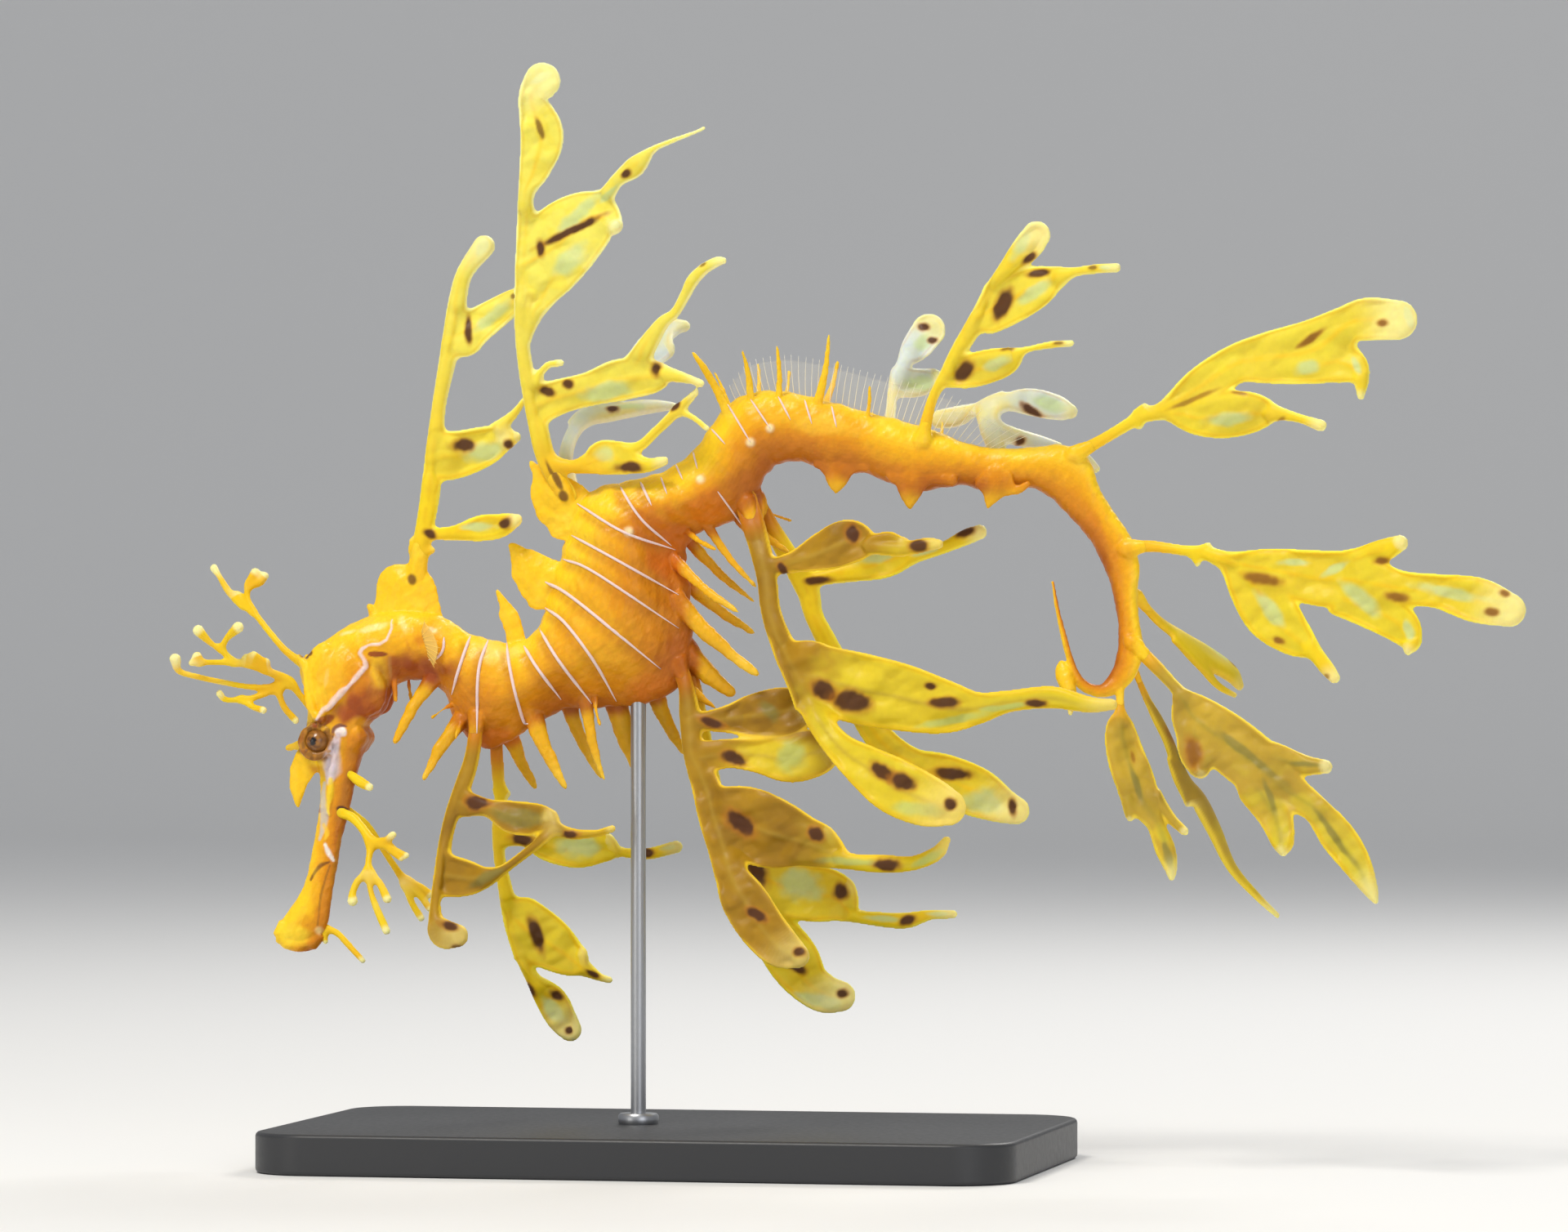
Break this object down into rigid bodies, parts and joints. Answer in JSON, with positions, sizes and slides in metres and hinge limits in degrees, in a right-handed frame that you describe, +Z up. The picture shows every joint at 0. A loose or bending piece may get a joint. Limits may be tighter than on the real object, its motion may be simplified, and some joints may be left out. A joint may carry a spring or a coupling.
{
  "type": "leafy seadragon model",
  "caption": "Still life-size model of a leafy seadragon with head down, leafy appendages spread and tail curled, held by a plain rod on a flat stand.",
  "frame": {"origin": "centre of the stand base's underside, on the surface that it stands on", "axes": "+Z up; the animal faces -X; its left side faces -Y"},
  "size_m": [0.2687, 0.09, 0.2158],
  "materials": {
    "skin": "satin",
    "leaf": "satin",
    "thread": "satin",
    "eye": "polished",
    "fin": "translucent",
    "stand": "satin",
    "rod": "satin"
  },
  "bodies": {
    "root": {"brow_threads_left": "thread", "brow_threads_right": "thread", "chin_thread": "thread", "dorsal_fin": "fin", "eye_left": "eye", "eye_right": "eye", "head": "skin", "leaf_back_left": "leaf", "leaf_back_right_front": "leaf", "leaf_back_right_rear": "leaf", "leaf_belly_left": "leaf", "leaf_belly_right": "leaf", "leaf_hip_left": "leaf", "leaf_hip_right": "leaf", "leaf_nape": "leaf", "leaf_rump_left": "leaf", "leaf_rump_right": "leaf", "leaf_shoulder_left": "leaf", "leaf_shoulder_right": "leaf", "leaf_tail_curl": "leaf", "leaf_tail_end": "leaf", "leaf_tail_lower_left": "leaf", "leaf_tail_lower_right": "leaf", "leaf_tail_top": "leaf", "leaf_tail_top_right": "leaf", "leaf_tail_upper_left": "leaf", "leaf_tail_upper_right": "leaf", "neck": "skin", "pectoral_fin_left": "fin", "pectoral_fin_right": "fin", "snout": "skin", "snout_threads_left": "thread", "snout_threads_right": "thread", "stand_base": "stand", "stand_rod": "rod", "tail_base": "skin", "tail_bend": "skin", "tail_middle": "skin", "tail_rear": "skin", "tail_tip": "skin", "throat_lobe": "thread", "trunk_front": "skin", "trunk_rear": "skin"}
  },
  "joints": []
}
